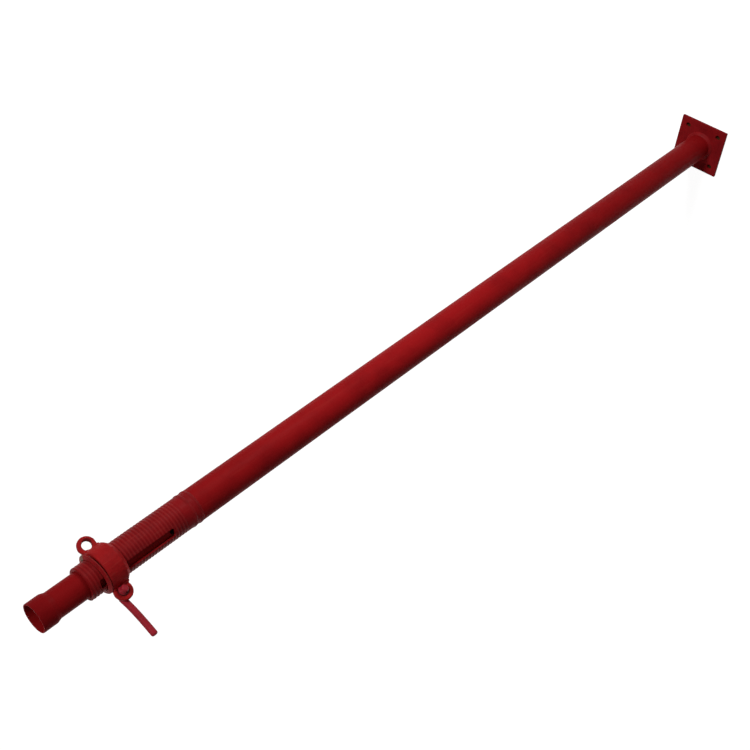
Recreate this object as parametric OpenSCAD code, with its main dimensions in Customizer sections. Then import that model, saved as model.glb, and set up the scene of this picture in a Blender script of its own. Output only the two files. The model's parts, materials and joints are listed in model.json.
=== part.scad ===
// Adjustable steel prop: a threaded outer tube on a base plate, a telescopic
// inner tube with a formed socket end, and a cast collar nut with a hooked bar
// handle. Millimetres, upright, base plate underside at z = 0. The pin slots
// and the pin holes run along X. The locking pin is drawn.

/* [Prop] */
// Closed length, base plate underside to socket mouth
closed_length = 1980; // [1740:10:2400]
// Distance from the socket mouth down to the top end of the threaded sleeve
sleeve_drop = 90; // [60:0.5:150]

/* [Outer tube] */
// Outside diameter of the outer tube and of the sleeve's thread crest
outer_od = 60.3; // [58:0.1:73]
// Wall of the plain outer tube
outer_wall = 3.2; // [2.6:0.1:4]
// Wall of the threaded sleeve
sleeve_wall = 4; // [3.2:0.1:4.8]
// Length of the threaded sleeve
sleeve_length = 227; // [200:1:300]

/* [Pin slots] */
// Width of each slot
slot_width = 16; // [13:0.5:22]
// Metal left above the slot, at the sleeve's top end
slot_margin = 17; // [14:1:30]
// Height of each slot
slot_height = 152; // [110:1:165]
// Radius in the corners of the slot
slot_corner = 3; // [1:0.5:6]

/* [Inner tube] */
// Outside diameter of the inner tube
inner_od = 48.3; // [40.2:0.1:50]
// Wall of the inner tube
inner_wall = 3.2; // [2.6:0.1:4.5]
// Diameter of the pin holes
hole_d = 14.5; // [12:0.5:18]
// Distance from the socket mouth down to the first pin hole
first_hole = 158; // [120:1:200]
// Pitch of the pin holes
hole_pitch = 101.6; // [60:0.1:125]
// Number of pin holes in each wall
hole_count = 14; // [3:1:14]
// Height of the guide ring at the hidden lower end
guide_height = 22; // [12:1:40]
// Running clearance between the guide ring and the outer tube
guide_clearance = 0.4; // [0.3:0.05:1]

/* [Socket end] */
// Bore of the socket, for a spigot or a fork head stem
socket_bore = 48.6; // [40:0.1:52]
// Wall of the formed socket
socket_wall = 2.7; // [2:0.1:4]
// Depth of the bore
socket_depth = 26; // [15:1:40]
// Length of the neck that runs down to the plain tube
socket_neck = 8.5; // [5:0.1:15]

/* [Collar nut] */
// Distance from the sleeve's top end down to the bearing washer's top
nut_drop = 28; // [24:0.5:100]
// Height of the nut's barrel
nut_height = 32; // [30:0.2:46]
// Height of the cone below the barrel
cone_height = 6.6; // [5:0.2:14]
// Radial wall of the barrel
barrel_wall = 8; // [6:0.1:12]
// Radius on the edges of the barrel
barrel_edge = 2; // [0.5:0.1:2.5]
// Radial wall at the cone's lower end
cone_wall = 1.2; // [1:0.1:3]
// Clearance between the nut's bore and the thread crest
nut_clearance = 0.35; // [0.3:0.05:1]
// Thickness of the bearing washer
washer_height = 4.2; // [3:0.2:8]
// Height of the washer's straight rim, below its coned face
washer_rim = 1.4; // [0.8:0.1:2.4]
// Clearance between the washer's bore and the thread crest
washer_clearance = 0.6; // [0.3:0.1:2]

/* [Ring ears] */
// Direction of the handle's ear, from the slots
ear_angle = -41.5; // [-90:0.5:90]
// Outside diameter of each eye
eye_od = 32.5; // [28:0.5:38]
// Hole through each eye
eye_hole = 17; // [15:0.5:22]
// Thickness of each eye
eye_thickness = 7.5; // [6:0.25:12]
// Radius on the edges of each eye
eye_edge = 2; // [0.5:0.25:2.5]
// Thickness of the foot that carries each eye
foot_thickness = 13; // [9:0.5:16]
// How far the foot stands out of the barrel
foot_rise = 2; // [0.5:0.25:5]
// How far each end of the foot lies inside the barrel's ends
foot_inset = 0.6; // [0.2:0.1:3]

/* [Handle] */
// Diameter of the handle's round bar
handle_d = 12; // [8:0.5:13]
// Distance from the prop's axis to the handle's tip
handle_reach = 132.5; // [110:0.5:220]
// Radius of the bend into the shank, on the bar's centre line
hook_radius = 8; // [7.5:0.5:14]
// Chamfer on the end of the shank
shank_chamfer = 1.2; // [0.5:0.1:2]
// Distance from the ear's middle to the outer face of the bar's formed head
head_reach = 15; // [13:0.5:20]
// How far the head is wider than the eye's hole, so that the bar stays in it
head_excess = 1.5; // [1:0.1:2]
// Height of the head
head_height = 4.5; // [3.5:0.5:6]
// Radius on the edges of the head
head_edge = 1.5; // [0.5:0.1:1.5]
// Clearance between the handle and the ear
handle_clearance = 0.4; // [0.3:0.05:1]

/* [Base plate] */
// Side of the square plate
plate_side = 122; // [100:1:200]
// Thickness of the plate
plate_height = 6; // [5:0.5:12]
// Direction of the plate's sides, from the slots
plate_angle = -18.9; // [-45:0.1:45]
// Diameter of the four fixing holes
plate_hole = 12; // [9:0.5:18]
// Distance from the plate's edge to the centre of each hole
plate_hole_edge = 20; // [14:0.5:28]
// Leg of the fillet weld round the foot of the tube
weld_leg = 6; // [3:0.5:10]
// Hollow of its face: larger values are flatter
weld_hollow = 1.35; // [1.1:0.05:3]

/* [Joint weld] */
// Height of each raised bead
bead_height = 1.1; // [0.6:0.1:2]
// Width of each raised bead
bead_width = 7; // [4:0.5:12]
// Distance between the two beads
bead_spacing = 13.3; // [12.5:0.1:20]

/* [Hidden] */
$fn = 96;

paint_red = [0.55, 0.08, 0.09];
dark_red = [0.42, 0.07, 0.08];
worn_steel = [0.47, 0.20, 0.19];

// Heights from the underside of the base plate
sleeve_top = closed_length - sleeve_drop;
sleeve_bottom = sleeve_top - sleeve_length;
slot_top = sleeve_top - slot_margin;
slot_bottom = slot_top - slot_height;
washer_top = sleeve_top - nut_drop;
nut_top = washer_top - washer_height;
cone_top = nut_top - nut_height;
nut_bottom = cone_top - cone_height;
eye_z = (washer_top + cone_top) / 2;

// Radii of the tubes
outer_r = outer_od / 2;
outer_bore_r = outer_r - outer_wall;
sleeve_bore_r = outer_r - sleeve_wall;
inner_r = inner_od / 2;
inner_bore_r = inner_r - inner_wall;
socket_r = socket_bore / 2 + socket_wall;
guide_r = outer_bore_r - guide_clearance;

// Radii of the washer, the nut and its ears
washer_bore_r = outer_r + washer_clearance;
nut_bore_r = outer_r + nut_clearance;
barrel_r = nut_bore_r + barrel_wall;
cone_r = nut_bore_r + cone_wall;
foot_r = barrel_r + foot_rise;
eye_offset = barrel_r + eye_hole / 2;

// The handle's pivot is the bar where it passes through the eye, seated on the
// upper side of the hole, with its shank on one side of the ear and its head on the other
bar_r = handle_d / 2;
pivot_z = eye_z + eye_hole / 2 - bar_r - handle_clearance;
ear_side = eye_thickness / 2 + handle_clearance;
shank_side = ear_side + hook_radius;
head_r = (eye_hole + head_excess) / 2;

// Points of an arc of radius r from angle a0 to angle a1
function arc(centre, r, a0, a1, steps = 8) =
    [for (i = [0:steps]) let (a = a0 + (a1 - a0) * i / steps)
        centre + r * [cos(a), sin(a)]];

// A rectangle with rounded corners, centred
module rounded_rectangle(size, r) {
    core = size - [2 * r, 2 * r];
    square([size.x, core.y], center = true);
    square([core.x, size.y], center = true);
    for (x = [-core.x, core.x] / 2, y = [-core.y, core.y] / 2)
        translate([x, y]) circle(r = r);
}

// A round bar of radius r between two heights
module bar(r, z0, z1) {
    translate([0, 0, z0]) cylinder(r = r, h = z1 - z0);
}

// A tube between two heights
module tube(outside_r, bore_r, z0, z1) {
    difference() {
        bar(outside_r, z0, z1);
        bar(bore_r, z0 - 1, z1 + 1);
    }
}

// A bore along X through both walls
module cross_hole(d, z) {
    translate([0, 0, z]) rotate([0, 90, 0])
        cylinder(d = d, h = 2 * outer_od, center = true);
}

// Places its children at both ears, with x outwards and z up from the eyes' height
module at_ears() {
    for (turn = [0, 180])
        rotate([0, 0, ear_angle + turn])
        translate([0, 0, eye_z])
        children();
}

module base_plate() {
    corner = plate_side / 2 - plate_hole_edge;
    color(paint_red)
    rotate([0, 0, plate_angle])
    difference() {
        linear_extrude(plate_height) square(plate_side, center = true);
        for (x = [-corner, corner], y = [-corner, corner])
            translate([x, y, -1]) cylinder(d = plate_hole, h = plate_height + 2);
    }
}

// Fillet weld in the corner between the plate and the tube, with a hollow face
module base_weld() {
    centre = weld_hollow * weld_leg;
    reach = norm([centre - weld_leg, centre]);
    spread = atan2(centre, centre - weld_leg);
    color(paint_red)
    rotate_extrude()
    translate([outer_r, plate_height])
    polygon(concat([[0, 0]], arc([centre, centre], reach, 180 + spread, 270 - spread)));
}

module outer_tube() {
    color(paint_red)
    tube(outer_r, outer_bore_r, plate_height, sleeve_bottom);
}

// Two low round-topped beads where the sleeve is butted onto the tube
module joint_weld() {
    half = bead_width / 2;
    crown_r = (half * half + bead_height * bead_height) / (2 * bead_height);
    open = asin(half / crown_r);
    crown_x = outer_r + bead_height - crown_r;
    color(paint_red)
    for (z = [sleeve_bottom, sleeve_bottom + bead_spacing])
        rotate_extrude()
        polygon(arc([crown_x, z], crown_r, -open, open, 12));
}

// Threaded along its length on the outside, with a slot through both walls
module threaded_sleeve() {
    color(paint_red)
    difference() {
        tube(outer_r, sleeve_bore_r, sleeve_bottom, sleeve_top);
        translate([0, 0, (slot_top + slot_bottom) / 2])
            rotate([90, 0, 90])
            linear_extrude(2 * outer_od, center = true)
            rounded_rectangle([slot_width, slot_height], slot_corner);
    }
}

// Plain tube with its upper end formed into a socket, standing on the base plate
module inner_tube() {
    socket_floor = closed_length - socket_depth;
    neck_bottom = socket_floor - socket_neck;
    color(paint_red)
    difference() {
        rotate_extrude()
        polygon([
            [inner_bore_r, plate_height],
            [inner_r, plate_height],
            [inner_r, neck_bottom],
            [socket_r, socket_floor],
            [socket_r, closed_length],
            [socket_bore / 2, closed_length],
            [socket_bore / 2, socket_floor],
            [inner_bore_r, neck_bottom]
        ]);
        for (i = [0:hole_count - 1])
            cross_hole(hole_d, closed_length - first_hole - i * hole_pitch);
    }
}

// Ring on the inner tube's lower end, which centres it in the outer tube
module guide_ring() {
    color(dark_red)
    tube(guide_r, inner_r, plate_height, plate_height + guide_height);
}

// Loose ring with a coned upper face, between the locking pin and the nut
module bearing_washer() {
    color(worn_steel)
    rotate_extrude()
    polygon([
        [washer_bore_r, nut_top],
        [barrel_r, nut_top],
        [barrel_r, nut_top + washer_rim],
        [cone_r + washer_clearance, washer_top],
        [washer_bore_r, washer_top]
    ]);
}

// Half section of the casting: the barrel, and the cone that leads down from its edge
module nut_section() {
    inside_r = nut_bore_r - 2 * barrel_edge;
    blend = barrel_edge * (1 - cos(45));
    translate([(barrel_r + inside_r) / 2, (nut_top + cone_top) / 2])
        rounded_rectangle([barrel_r - inside_r, nut_height], barrel_edge);
    polygon([
        [nut_bore_r, nut_bottom],
        [cone_r, nut_bottom],
        [barrel_r - blend, cone_top + blend],
        [nut_bore_r, cone_top + blend]
    ]);
}

// Ring of one ear, with rounded edges, turned about the eye's own axis
module eye_ring() {
    translate([eye_offset, 0, 0]) rotate([90, 0, 0])
        rotate_extrude()
        translate([(eye_od + eye_hole) / 4, 0])
        rounded_rectangle([(eye_od - eye_hole) / 2, eye_thickness], eye_edge);
}

// Foot of one ear: a block along the barrel, and a web that narrows to the ring
module ear_foot() {
    low = cone_top + foot_inset - eye_z;
    high = nut_top - foot_inset - eye_z;
    inside = (nut_bore_r + barrel_r) / 2;
    shoulder = (eye_od - eye_edge) / 2;
    rotate([90, 0, 0]) {
        linear_extrude(foot_thickness, center = true) {
            translate([(inside + foot_r) / 2, (low + high) / 2])
                rounded_rectangle([foot_r - inside, high - low], foot_rise);
        }
        linear_extrude(eye_thickness - eye_edge, center = true)
        polygon([
            [inside, low + foot_rise], [foot_r - foot_rise / 2, low + foot_rise],
            [eye_offset, -shoulder], [eye_offset, shoulder],
            [foot_r - foot_rise / 2, high - foot_rise], [inside, high - foot_rise]
        ]);
    }
}

module collar_nut() {
    color(paint_red)
    difference() {
        union() {
            rotate_extrude() nut_section();
            at_ears() ear_foot();
            at_ears() eye_ring();
        }
        bar(nut_bore_r, nut_bottom - 1, nut_top + 1);
        at_ears() translate([eye_offset, 0, 0]) rotate([90, 0, 0])
            cylinder(d = eye_hole, h = 2 * foot_thickness, center = true);
    }
}

// Round bar hooked through the eye: a long shank, a bend, the pivot and a formed head
module handle() {
    shank_end = handle_reach - eye_offset;
    color(paint_red)
    rotate([0, 0, ear_angle])
    translate([eye_offset, 0, pivot_z]) {
        rotate([90, 0, 0]) bar(bar_r, -head_reach + head_edge, ear_side);
        translate([0, head_reach, 0]) rotate([90, 0, 0])
            rotate_extrude() intersection() {
                translate([0, head_height / 2])
                    rounded_rectangle([2 * head_r, head_height], head_edge);
                square([head_r, head_height]);
            }
        translate([hook_radius, -ear_side, 0]) rotate([0, 0, 180])
            rotate_extrude(angle = 90) translate([hook_radius, 0]) circle(r = bar_r);
        translate([0, -shank_side, 0]) rotate([0, 90, 0]) {
            bar(bar_r, hook_radius, shank_end - shank_chamfer);
            translate([0, 0, shank_end - shank_chamfer])
                cylinder(r1 = bar_r, r2 = bar_r - shank_chamfer, h = shank_chamfer);
        }
    }
}

base_plate();
base_weld();
outer_tube();
joint_weld();
threaded_sleeve();
inner_tube();
guide_ring();
bearing_washer();
collar_nut();
handle();
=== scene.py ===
# %% [markdown]
# # An adjustable steel prop
#
# A prop is two tubes, one inside the other, that hold up a floor or a beam while it sets. A slotted, threaded
# sleeve on the outer tube carries a cast collar nut, and a pin through the slot rests on a washer on that nut.
# This lesson builds the looks of one: a rolled thread, welds, a casting, a bent bar, and old red enamel.
# The construction is already there as a fixed frame, so each piece here takes its place from that frame.

# %% Set up
import json
import math

import bmesh
import bpy
import numpy as np
from mathutils import Matrix, Vector


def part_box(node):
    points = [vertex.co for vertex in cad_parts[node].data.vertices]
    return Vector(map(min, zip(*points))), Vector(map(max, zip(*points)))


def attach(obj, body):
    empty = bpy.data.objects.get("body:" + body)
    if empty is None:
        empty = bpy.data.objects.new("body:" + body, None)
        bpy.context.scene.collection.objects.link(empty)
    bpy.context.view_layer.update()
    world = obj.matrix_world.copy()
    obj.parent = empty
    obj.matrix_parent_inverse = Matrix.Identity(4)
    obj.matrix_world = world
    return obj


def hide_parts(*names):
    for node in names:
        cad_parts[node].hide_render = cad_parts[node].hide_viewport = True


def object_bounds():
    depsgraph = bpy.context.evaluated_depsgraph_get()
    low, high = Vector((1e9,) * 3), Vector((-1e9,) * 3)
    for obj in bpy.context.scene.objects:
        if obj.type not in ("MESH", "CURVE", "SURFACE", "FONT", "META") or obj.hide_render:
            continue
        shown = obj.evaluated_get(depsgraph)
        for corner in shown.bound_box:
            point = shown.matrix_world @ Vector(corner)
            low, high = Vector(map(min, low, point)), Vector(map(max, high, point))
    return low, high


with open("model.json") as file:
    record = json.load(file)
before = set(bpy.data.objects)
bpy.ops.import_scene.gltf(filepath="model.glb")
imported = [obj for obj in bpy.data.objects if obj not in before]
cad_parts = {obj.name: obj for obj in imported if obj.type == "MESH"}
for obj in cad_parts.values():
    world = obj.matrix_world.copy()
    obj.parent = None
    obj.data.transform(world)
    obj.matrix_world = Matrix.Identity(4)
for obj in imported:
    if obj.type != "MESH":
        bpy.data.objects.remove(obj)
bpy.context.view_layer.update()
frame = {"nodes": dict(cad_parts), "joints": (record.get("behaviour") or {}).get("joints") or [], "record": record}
MM = 0.001

# %% [markdown]
# The sizes come from the frame where it can give them: a node's box holds its length and its radius. The pitch
# of the thread is in the coupling that turns the nut as it travels. The rest are the prop's own small sizes.

# %% Sizes
sleeve_low, sleeve_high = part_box("threaded_sleeve")
tube_low, tube_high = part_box("outer_tube")
inner_low, inner_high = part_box("inner_tube")
washer_low, washer_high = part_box("bearing_washer")
plate_low, plate_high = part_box("base_plate")

joints = {joint["name"]: joint for joint in frame["joints"]}
coupling = frame["record"]["behaviour"]["couplings"][0]
PITCH = coupling["ratio"] * 2 * math.pi
CREST_R = sleeve_high.x
THREAD_DEPTH = 0.65 * MM
SLEEVE_WALL = 4 * MM
TUBE_R = tube_high.x
TUBE_WALL = 3.2 * MM
INNER_R = 24.15 * MM
print("thread pitch: %.2f mm" % (PITCH / MM))

# %% [markdown]
# ## Helpers
#
# Colours are written as sRGB hex values, the way a paint chart gives them, and one function turns them to the
# linear values that Blender works in. One more adds a node to any tree, with its settings and its links.

# %% Colour and nodes
def linear(code):
    """An sRGB hex colour as linear red, green, blue and alpha."""
    values = [int(code[i : i + 2], 16) / 255 for i in (1, 3, 5)]
    return [v / 12.92 if v <= 0.04045 else ((v + 0.055) / 1.055) ** 2.4 for v in values] + [1.0]


def add(tree, kind, inputs=None, **settings):
    """Adds a node. An input is a value, a socket, or a node whose first output is linked."""
    node = tree.nodes.new(kind)
    for name, value in settings.items():
        setattr(node, name, value)
    for key, value in (inputs or {}).items():
        if isinstance(value, bpy.types.Node):
            value = value.outputs[0]
        if isinstance(value, bpy.types.NodeSocket):
            tree.links.new(value, node.inputs[key])
        else:
            node.inputs[key].default_value = value
    return node


# %% [markdown]
# Every finished piece is a plain mesh whose object sits at the origin. Smooth shading with the creases kept sharp
# gives round tubes and crisp ends, and one call hangs the piece on the body that carries it.

# %% Finishing a piece
def put(name, data):
    """A new object with this data, linked to the scene."""
    thing = bpy.data.objects.new(name, data)
    bpy.context.scene.collection.objects.link(thing)
    return thing


def new_piece(name, mesh, body, material, replaced=(), crease=38):
    """A mesh as a finished piece that rides on a body."""
    mesh.shade_smooth()
    mesh.set_sharp_from_angle(angle=math.radians(crease))
    mesh.materials.clear()
    mesh.materials.append(material)
    piece = put(name, mesh)
    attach(piece, body)
    if replaced:
        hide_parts(*replaced)
    print("%-16s %6d faces" % (name, len(mesh.polygons)))
    return piece


def bake(piece):
    """The evaluated shape of an object as a plain mesh. The object itself goes."""
    bpy.context.view_layer.update()
    graph = bpy.context.evaluated_depsgraph_get()
    mesh = bpy.data.meshes.new_from_object(piece.evaluated_get(graph))
    bpy.data.objects.remove(piece)
    return mesh


# %% [markdown]
# A turned or drawn piece is a closed profile spun round the axis. The profile is a list of radius and height,
# and long straight runs are cut into rings, so that later cuts and shading stay even.

# %% Lathe
def rings(start, end, spacing):
    """Points from start to end, about spacing apart, without the last."""
    count = max(1, round(math.dist(start, end) / spacing))
    return [
        (start[0] + (end[0] - start[0]) * i / count, start[1] + (end[1] - start[1]) * i / count)
        for i in range(count)
    ]


def rounded(profile, radii, steps=4):
    """A closed profile whose corners are rounded, each to its own radius."""
    points = []
    for i, corner in enumerate(profile):
        here = Vector(corner)
        before = Vector(profile[i - 1]) - here
        after = Vector(profile[(i + 1) % len(profile)]) - here
        radius = radii[i]
        if radius == 0:
            points.append(tuple(here))
            continue
        half = before.angle(after) / 2
        reach = radius / math.tan(half)
        start, end = here + before.normalized() * reach, here + after.normalized() * reach
        centre = here + (before.normalized() + after.normalized()).normalized() * (radius / math.sin(half))
        turn = (start - centre).angle_signed(end - centre)
        for k in range(steps + 1):
            angle = -turn * k / steps
            spoke = start - centre
            spun = Matrix.Rotation(angle, 2) @ spoke
            points.append(tuple(centre + spun))
    return points


def lathe(name, profile, segments=128, spacing=None):
    """Spins a closed profile of (radius, height) round the prop's axis."""
    if spacing:
        closed = profile + profile[:1]
        profile = [p for a, b in zip(closed, closed[1:]) for p in rings(a, b, spacing)]
    count = len(profile)
    angles = [2 * math.pi * i / segments for i in range(segments)]
    points = [(r * math.cos(a), r * math.sin(a), z) for a in angles for r, z in profile]
    faces = []
    for i in range(segments):
        here, there = i * count, (i + 1) % segments * count
        for k in range(count):
            after = (k + 1) % count
            faces.append((here + k, there + k, there + after, here + after))
    mesh = bpy.data.meshes.new(name)
    mesh.from_pydata(points, [], faces)
    outward(mesh)
    return mesh


def outward(mesh):
    """Turns every face of a closed mesh to point outwards."""
    work = bmesh.new()
    work.from_mesh(mesh)
    bmesh.ops.remove_doubles(work, verts=work.verts, dist=1e-6)
    bmesh.ops.recalc_face_normals(work, faces=work.faces)
    work.to_mesh(mesh)
    work.free()


# %% [markdown]
# ## Materials
#
# The prop is dipped or brushed in an alkyd enamel, a semi-gloss oil paint. On real steel it's never one colour:
# it rubs thin and chalky on ridges, and holds fine streaks along the tube from handling. A piece may carry a
# "relief" value, 1 on a ridge and -1 in a groove, which places the wear on ridges and a dark red in grooves and
# hollows. That dark red is painted shade, with some dirt in it. A piece without one reads 0, which is neither.
# Patterns are sized in millimetres. The grain of real paint is too fine to show from here, so it's drawn about a
# millimetre across.

# %% Enamel
# a dark red laid where the relief is below 0: painted shade, with some dirt in grooves and grease inside the eyes
GRIME_AND_SHADE = "#380C0E"


def new_material(name):
    """A material and its tree, with no nodes yet."""
    material = bpy.data.materials.new(name)
    material.use_nodes = True
    material.node_tree.nodes.clear()
    return material, material.node_tree


def enamel(name, red, deep, chalk, blotch, grain, gloss, shine, pits=0.03, dirt_and_shade=0.3, patch=None):
    """Old enamel over steel or iron. blotch and grain are sizes in mm, pits is the bump's depth in mm. A patch
    is a place where the paint is gone: its bearing and half its width in degrees, and the colour that shows."""
    material, tree = new_material(name)
    place = add(tree, "ShaderNodeTexCoord").outputs["Object"]
    broad = add(
        tree, "ShaderNodeTexNoise", {"Vector": place, "Scale": 1 / (blotch * MM), "Detail": 3.0, "Roughness": 0.55}
    )
    along = add(tree, "ShaderNodeMapping", {"Vector": place, "Scale": (1, 1, 0.08)})
    streak = add(
        tree, "ShaderNodeTexNoise", {"Vector": along, "Scale": 1 / (4 * grain * MM), "Detail": 4.0, "Roughness": 0.6}
    )
    fine = add(tree, "ShaderNodeTexNoise", {"Vector": place, "Scale": 1 / (grain * MM), "Detail": 3.0})

    # where each colour shows, from 0 to 1
    pooled = add(tree, "ShaderNodeMapRange", {"Value": broad, 1: 0.42, 2: 0.72, 3: 0.0, 4: 0.55})
    rubbed = add(tree, "ShaderNodeMapRange", {"Value": streak, 1: 0.56, 2: 0.74, 3: 0.0, 4: 0.5})
    relief = add(tree, "ShaderNodeAttribute", attribute_name="relief").outputs["Fac"]
    # grooves and hollows take the dark red: painted shade, with some dirt
    groove = add(tree, "ShaderNodeMapRange", {"Value": relief, 1: -0.1, 2: -1.0, 3: 0.0, 4: dirt_and_shade})
    ridge = add(tree, "ShaderNodeMapRange", {"Value": relief, 1: 0.15, 2: 1.0, 3: 0.0, 4: 0.6})
    ridge = add(tree, "ShaderNodeMath", {0: ridge, 1: fine}, operation="MULTIPLY")
    layers = [(pooled, deep), (rubbed, chalk), (groove, GRIME_AND_SHADE), (ridge, chalk)]
    if patch:
        bearing, spread, bared = patch
        level = add(tree, "ShaderNodeVectorMath", {0: place, 1: (1, 1, 0)}, operation="MULTIPLY")
        level = add(tree, "ShaderNodeVectorMath", {0: level}, operation="NORMALIZE")
        middle = (math.cos(math.radians(bearing)), math.sin(math.radians(bearing)), 0)
        facing = add(tree, "ShaderNodeVectorMath", {0: level, 1: middle}, operation="DOT_PRODUCT")
        rim, core = math.cos(math.radians(spread)), math.cos(math.radians(spread / 2))
        inside = add(tree, "ShaderNodeMapRange", {"Value": facing.outputs["Value"], 1: rim, 2: core})
        ragged = add(tree, "ShaderNodeMapRange", {"Value": fine, 1: 0.4, 2: 0.5})
        inside = add(tree, "ShaderNodeMath", {0: inside, 1: ragged}, operation="MULTIPLY")
        layers.append((inside, bared))

    # each colour lies over the ones before it
    base = linear(red)
    for share, colour in layers:
        base = add(tree, "ShaderNodeMix", {0: share, 6: base, 7: linear(colour)}, data_type="RGBA").outputs[2]

    dull = add(tree, "ShaderNodeMapRange", {"Value": streak, 1: 0.3, 2: 0.7, 3: gloss - 0.07, 4: gloss + 0.13})
    swell = add(tree, "ShaderNodeBump", {"Strength": 0.35, "Distance": 4 * pits * MM, "Height": broad})
    bump = add(
        tree, "ShaderNodeBump", {"Strength": 0.5, "Distance": pits * MM, "Height": fine, "Normal": swell}
    )
    shader = add(
        tree,
        "ShaderNodeBsdfPrincipled",
        {"Base Color": base, "Roughness": dull, "Normal": bump, "Specular IOR Level": shine, "IOR": 1.5},
    )
    add(tree, "ShaderNodeOutputMaterial", {"Surface": shader})
    return material


# %% [markdown]
# The tubes are smooth, so their enamel shows long streaks and soft blotches. The casting is rougher, and the welds
# are thick with paint. The weld's red is a little darker than the tubes': painted shade, against the extra light
# that falls on its sloped faces. The bar of the handle is polished by hands, so it's the glossiest, and its red is
# lighter and pinker than the tubes': a painted lit tone. The washer's enamel is rubbed through to dull steel on
# one side.

# %% The finishes
tube_enamel = enamel(
    "enamel_on_drawn_tube", "#981417", "#7A0E12", "#9C2220", blotch=60, grain=1.5, gloss=0.46, shine=0.03
)
thread_enamel = enamel(
    "enamel_on_rolled_thread", "#941519", "#660E14", "#A23432", 45, 1.2, 0.44, 0.05, dirt_and_shade=0.16
)
casting_enamel = enamel(
    "enamel_on_sand_casting", "#B41E20", "#8A1318", "#BA3E38", 22, 0.9, 0.48, 0.06, pits=0.09, dirt_and_shade=0.7
)
# the weld's red is a little darker than the tubes': painted shade, against the extra light on its slopes
weld_enamel = enamel(
    "enamel_on_weld_bead", "#92161A", "#6E0E12", "#942222", 16, 0.8, 0.42, 0.06, pits=0.05, dirt_and_shade=0.25
)
# the bar's red is lighter and pinker than the tubes': a painted lit tone
bar_enamel = enamel(
    "enamel_on_round_bar", "#B42634", "#8E1822", "#C4505C", 30, 1.0, 0.38, 0.12, dirt_and_shade=0.9
)
washer_enamel = enamel(
    "enamel_worn_by_the_pin", "#A0191D", "#74121A", "#A04640", 14, 0.8, 0.5, 0.08,
    patch=(128, 17, "#76735F")
)
plate_enamel = enamel(
    "enamel_on_flat_plate", "#90161A", "#660D12", "#8E2624", 35, 1.2, 0.5, 0.04
)

# %% [markdown]
# The guide ring at the inner tube's foot is bare steel, greased and dark, out of sight inside the outer tube.

# %% Greased steel
def greased_steel():
    """Cold drawn steel under a dark film of grease."""
    material, tree = new_material("greased_bright_steel")
    place = add(tree, "ShaderNodeTexCoord").outputs["Object"]
    around = add(tree, "ShaderNodeMapping", {"Vector": place, "Scale": (0.1, 0.1, 1)})
    marks = add(tree, "ShaderNodeTexNoise", {"Vector": around, "Scale": 1 / (0.8 * MM), "Detail": 3.0})
    film = add(
        tree, "ShaderNodeMix", {0: marks, 6: linear("#8E867C"), 7: linear("#3A332C")}, data_type="RGBA"
    ).outputs[2]
    smear = add(tree, "ShaderNodeMapRange", {"Value": marks, 3: 0.25, 4: 0.5})
    shader = add(
        tree, "ShaderNodeBsdfPrincipled", {"Base Color": film, "Metallic": 1.0, "Roughness": smear}
    )
    add(tree, "ShaderNodeOutputMaterial", {"Surface": shader})
    return material


guide = frame["nodes"]["guide_ring"]
guide.data.materials.clear()
guide.data.materials.append(greased_steel())

# %% [markdown]
# ## A Geometry Nodes tree in code
#
# What repeats or follows a rule is made by Geometry Nodes: the thread, the welds and the row of pin holes. Each
# tree has named inputs for its sizes. An input is set on the modifier by its identifier, before the object is
# looked at for the first time.

# %% Tree helpers
def new_tree(name, sizes):
    """A geometry tree with one number input for each name in sizes. Returns the tree and its input node."""
    tree = bpy.data.node_groups.new(name, "GeometryNodeTree")
    tree.interface.new_socket("Geometry", in_out="INPUT", socket_type="NodeSocketGeometry")
    tree.interface.new_socket("Geometry", in_out="OUTPUT", socket_type="NodeSocketGeometry")
    for size in sizes:
        kind = "NodeSocketInt" if size.endswith("Count") else "NodeSocketFloat"
        tree.interface.new_socket(size, in_out="INPUT", socket_type=kind)
    return tree, add(tree, "NodeGroupInput")


def run_tree(tree, sizes, mesh=None):
    """Runs a tree with these sizes on a mesh, or on nothing, and returns the result as a mesh."""
    piece = put(tree.name, mesh or bpy.data.meshes.new(tree.name))
    modifier = piece.modifiers.new(tree.name, "NODES")
    modifier.node_group = tree
    for item in tree.interface.items_tree:
        if item.item_type == "SOCKET" and item.in_out == "INPUT" and item.name in sizes:
            modifier[item.identifier] = sizes[item.name]
    return bake(piece)


def finish_tree(tree, geometry, material):
    """Ends a tree: instances become real, and the material is set."""
    real = add(tree, "GeometryNodeRealizeInstances", {0: geometry})
    done = add(tree, "GeometryNodeSetMaterial", {0: real, "Material": material})
    add(tree, "NodeGroupOutput", {0: done})


# %% [markdown]
# ## The threaded sleeve
#
# The sleeve's coarse thread is rolled, so its crests and roots are rounded. A helix could be cut by a boolean with
# a swept tool, but the rule is simple enough to write down: the radius at any point depends only on its height
# less its share of a turn. So a flat grid is wrapped round the axis, and each point is moved to that radius.
# The last rows of the grid turn over the top edge and down the bore, which closes the wall. The bore is drawn in
# at its mouth, close to the inner tube. The welds will need such a grid too, so two helpers come first: one reads
# a point's place in the grid, and one puts it round the axis.

# %% A grid round the axis
MERGE_REACH = 0.01 * MM


def grid_place(tree, last_row):
    """Where a point of the unit grid is: its share of the turn, from 0 to 1, and its row, from 0 to last_row."""
    place = add(tree, "ShaderNodeSeparateXYZ", {0: add(tree, "GeometryNodeInputPosition")})
    share = add(tree, "ShaderNodeMath", {0: place.outputs[0], 1: 0.5}, operation="ADD")
    row = add(tree, "ShaderNodeMapRange", {"Value": place.outputs[1], 1: -0.5, 2: 0.5, 3: 0.0, 4: float(last_row)})
    return share, row


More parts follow.
